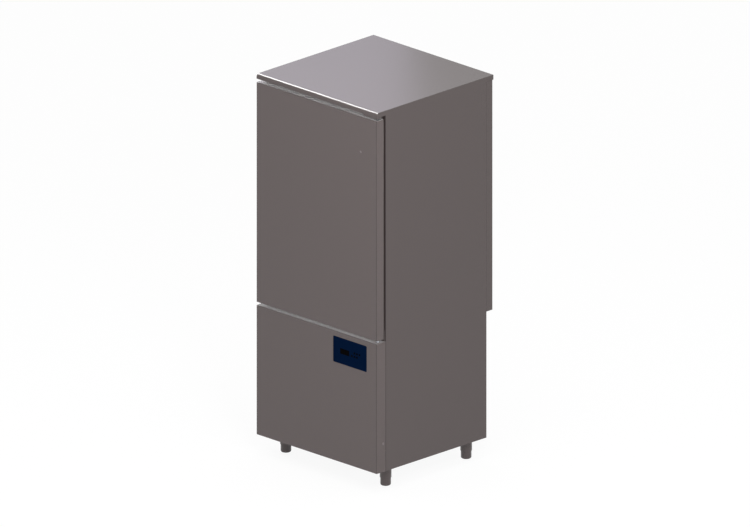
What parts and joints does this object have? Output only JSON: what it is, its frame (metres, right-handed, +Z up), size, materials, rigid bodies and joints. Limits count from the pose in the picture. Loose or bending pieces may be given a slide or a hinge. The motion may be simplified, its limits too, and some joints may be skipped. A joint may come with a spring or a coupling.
{
  "type": "blast chiller",
  "caption": "Upright commercial blast chiller with a full-width insulated door over a tray chamber, a lower panel with controls, and levelling feet.",
  "frame": {"origin": "on the floor, under the middle of the cabinet", "axes": "+X to the right seen from the front, +Y to the back, +Z up; the door faces -Y"},
  "size_m": [0.79, 0.77, 1.88],
  "materials": {
    "grey_coat": "satin",
    "stainless": "satin",
    "steel_wire": "satin",
    "galvanised": "matte",
    "foam": "matte",
    "dark_plastic": "matte",
    "light_plastic": "matte",
    "board": "satin",
    "navy_panel": "satin",
    "display_glass": "gloss",
    "key_plastic": "matte",
    "seal_rubber": "matte",
    "black_paint": "gloss",
    "motor_case": "satin",
    "aluminium_fins": "satin",
    "copper": "satin",
    "fan_plastic": "satin"
  },
  "bodies": {
    "cabinet": {"outer_wrap": "grey_coat", "front_frame": "grey_coat", "rear_upper_cover": "grey_coat", "rear_lower_panel": "grey_coat", "lower_front_panel": "grey_coat", "top_hinge_plate": "grey_coat", "lower_hinge_bracket": "grey_coat", "chamber_liner": "stainless", "rack_uprights": "stainless", "tray_runners": "stainless", "fan_baffle": "stainless", "drip_tray": "stainless", "foot_sleeves": "grey_coat", "fan_guards": "steel_wire", "panel_screws": "steel_wire", "hinge_pins": "steel_wire", "base_chassis": "galvanised", "body_underside": "galvanised", "evaporator_end_plates": "galvanised", "condenser_end_plates": "galvanised", "condenser_shroud": "galvanised", "insulation": "foam", "breaker_strip": "dark_plastic", "control_carrier": "dark_plastic", "control_box": "dark_plastic", "probe_socket": "dark_plastic", "cable_gland": "dark_plastic", "drain_pipe": "light_plastic", "control_board": "board", "control_fascia": "navy_panel", "display_window": "display_glass", "compressor_mounts": "seal_rubber", "compressor": "black_paint", "liquid_receiver": "black_paint", "fan_motors": "motor_case", "condenser_fan_motor": "motor_case", "evaporator_coil": "aluminium_fins", "condenser_coil": "aluminium_fins", "filter_drier": "copper", "refrigerant_pipes": "copper"},
    "door": {"door_outer_skin": "grey_coat", "door_insulation": "foam", "door_inner_skin": "stainless", "door_gasket": "seal_rubber", "door_grip": "dark_plastic", "hinge_bushes": "dark_plastic"},
    "chamber_fan_1": {"chamber_fan_1": "fan_plastic"},
    "chamber_fan_2": {"chamber_fan_2": "fan_plastic"},
    "key_lower_left": {"key_lower_left": "key_plastic"},
    "key_lower_middle": {"key_lower_middle": "key_plastic"},
    "key_lower_right": {"key_lower_right": "key_plastic"},
    "key_upper_left": {"key_upper_left": "key_plastic"},
    "key_upper_middle": {"key_upper_middle": "key_plastic"},
    "key_upper_right": {"key_upper_right": "key_plastic"},
    "foot_front_left": {"foot_front_left": "grey_coat"},
    "foot_front_right": {"foot_front_right": "grey_coat"},
    "foot_rear_left": {"foot_rear_left": "grey_coat"},
    "foot_rear_right": {"foot_rear_right": "grey_coat"},
    "condenser_fan": {"condenser_fan": "fan_plastic"}
  },
  "joints": [
    {"name": "door_hinge", "type": "hinge", "parent": "cabinet", "child": "door", "pos_m": [0.378, -0.3615, 1.297], "axis": [0, 0, 1], "range_deg": [0, 110]},
    {"name": "chamber_fan_1_spin", "type": "hinge", "parent": "cabinet", "child": "chamber_fan_1", "pos_m": [0, 0.175, 1.048], "axis": [0, 1, 0], "continuous": true},
    {"name": "chamber_fan_2_spin", "type": "hinge", "parent": "cabinet", "child": "chamber_fan_2", "pos_m": [0, 0.175, 1.546], "axis": [0, 1, 0], "continuous": true},
    {"name": "condenser_fan_spin", "type": "hinge", "parent": "cabinet", "child": "condenser_fan", "pos_m": [-0.2038, 0.23, 0.272], "axis": [0, 1, 0], "continuous": true},
    {"name": "key_lower_left_press", "type": "slide", "parent": "cabinet", "child": "key_lower_left", "axis": [0, 1, 0], "range_m": [0, 0.0006], "stiffness_N_per_m": 1500, "springref_m": -0.0004},
    {"name": "key_lower_middle_press", "type": "slide", "parent": "cabinet", "child": "key_lower_middle", "axis": [0, 1, 0], "range_m": [0, 0.0006], "stiffness_N_per_m": 1500, "springref_m": -0.0004},
    {"name": "key_lower_right_press", "type": "slide", "parent": "cabinet", "child": "key_lower_right", "axis": [0, 1, 0], "range_m": [0, 0.0006], "stiffness_N_per_m": 1500, "springref_m": -0.0004},
    {"name": "key_upper_left_press", "type": "slide", "parent": "cabinet", "child": "key_upper_left", "axis": [0, 1, 0], "range_m": [0, 0.0006], "stiffness_N_per_m": 1500, "springref_m": -0.0004},
    {"name": "key_upper_middle_press", "type": "slide", "parent": "cabinet", "child": "key_upper_middle", "axis": [0, 1, 0], "range_m": [0, 0.0006], "stiffness_N_per_m": 1500, "springref_m": -0.0004},
    {"name": "key_upper_right_press", "type": "slide", "parent": "cabinet", "child": "key_upper_right", "axis": [0, 1, 0], "range_m": [0, 0.0006], "stiffness_N_per_m": 1500, "springref_m": -0.0004},
    {"name": "foot_front_left_turn", "type": "hinge", "parent": "cabinet", "child": "foot_front_left", "pos_m": [-0.328, -0.258, 0.05], "axis": [0, 0, 1], "continuous": true},
    {"name": "foot_front_right_turn", "type": "hinge", "parent": "cabinet", "child": "foot_front_right", "pos_m": [0.328, -0.258, 0.05], "axis": [0, 0, 1], "continuous": true},
    {"name": "foot_rear_left_turn", "type": "hinge", "parent": "cabinet", "child": "foot_rear_left", "pos_m": [-0.328, 0.272, 0.05], "axis": [0, 0, 1], "continuous": true},
    {"name": "foot_rear_right_turn", "type": "hinge", "parent": "cabinet", "child": "foot_rear_right", "pos_m": [0.328, 0.272, 0.05], "axis": [0, 0, 1], "continuous": true}
  ]
}
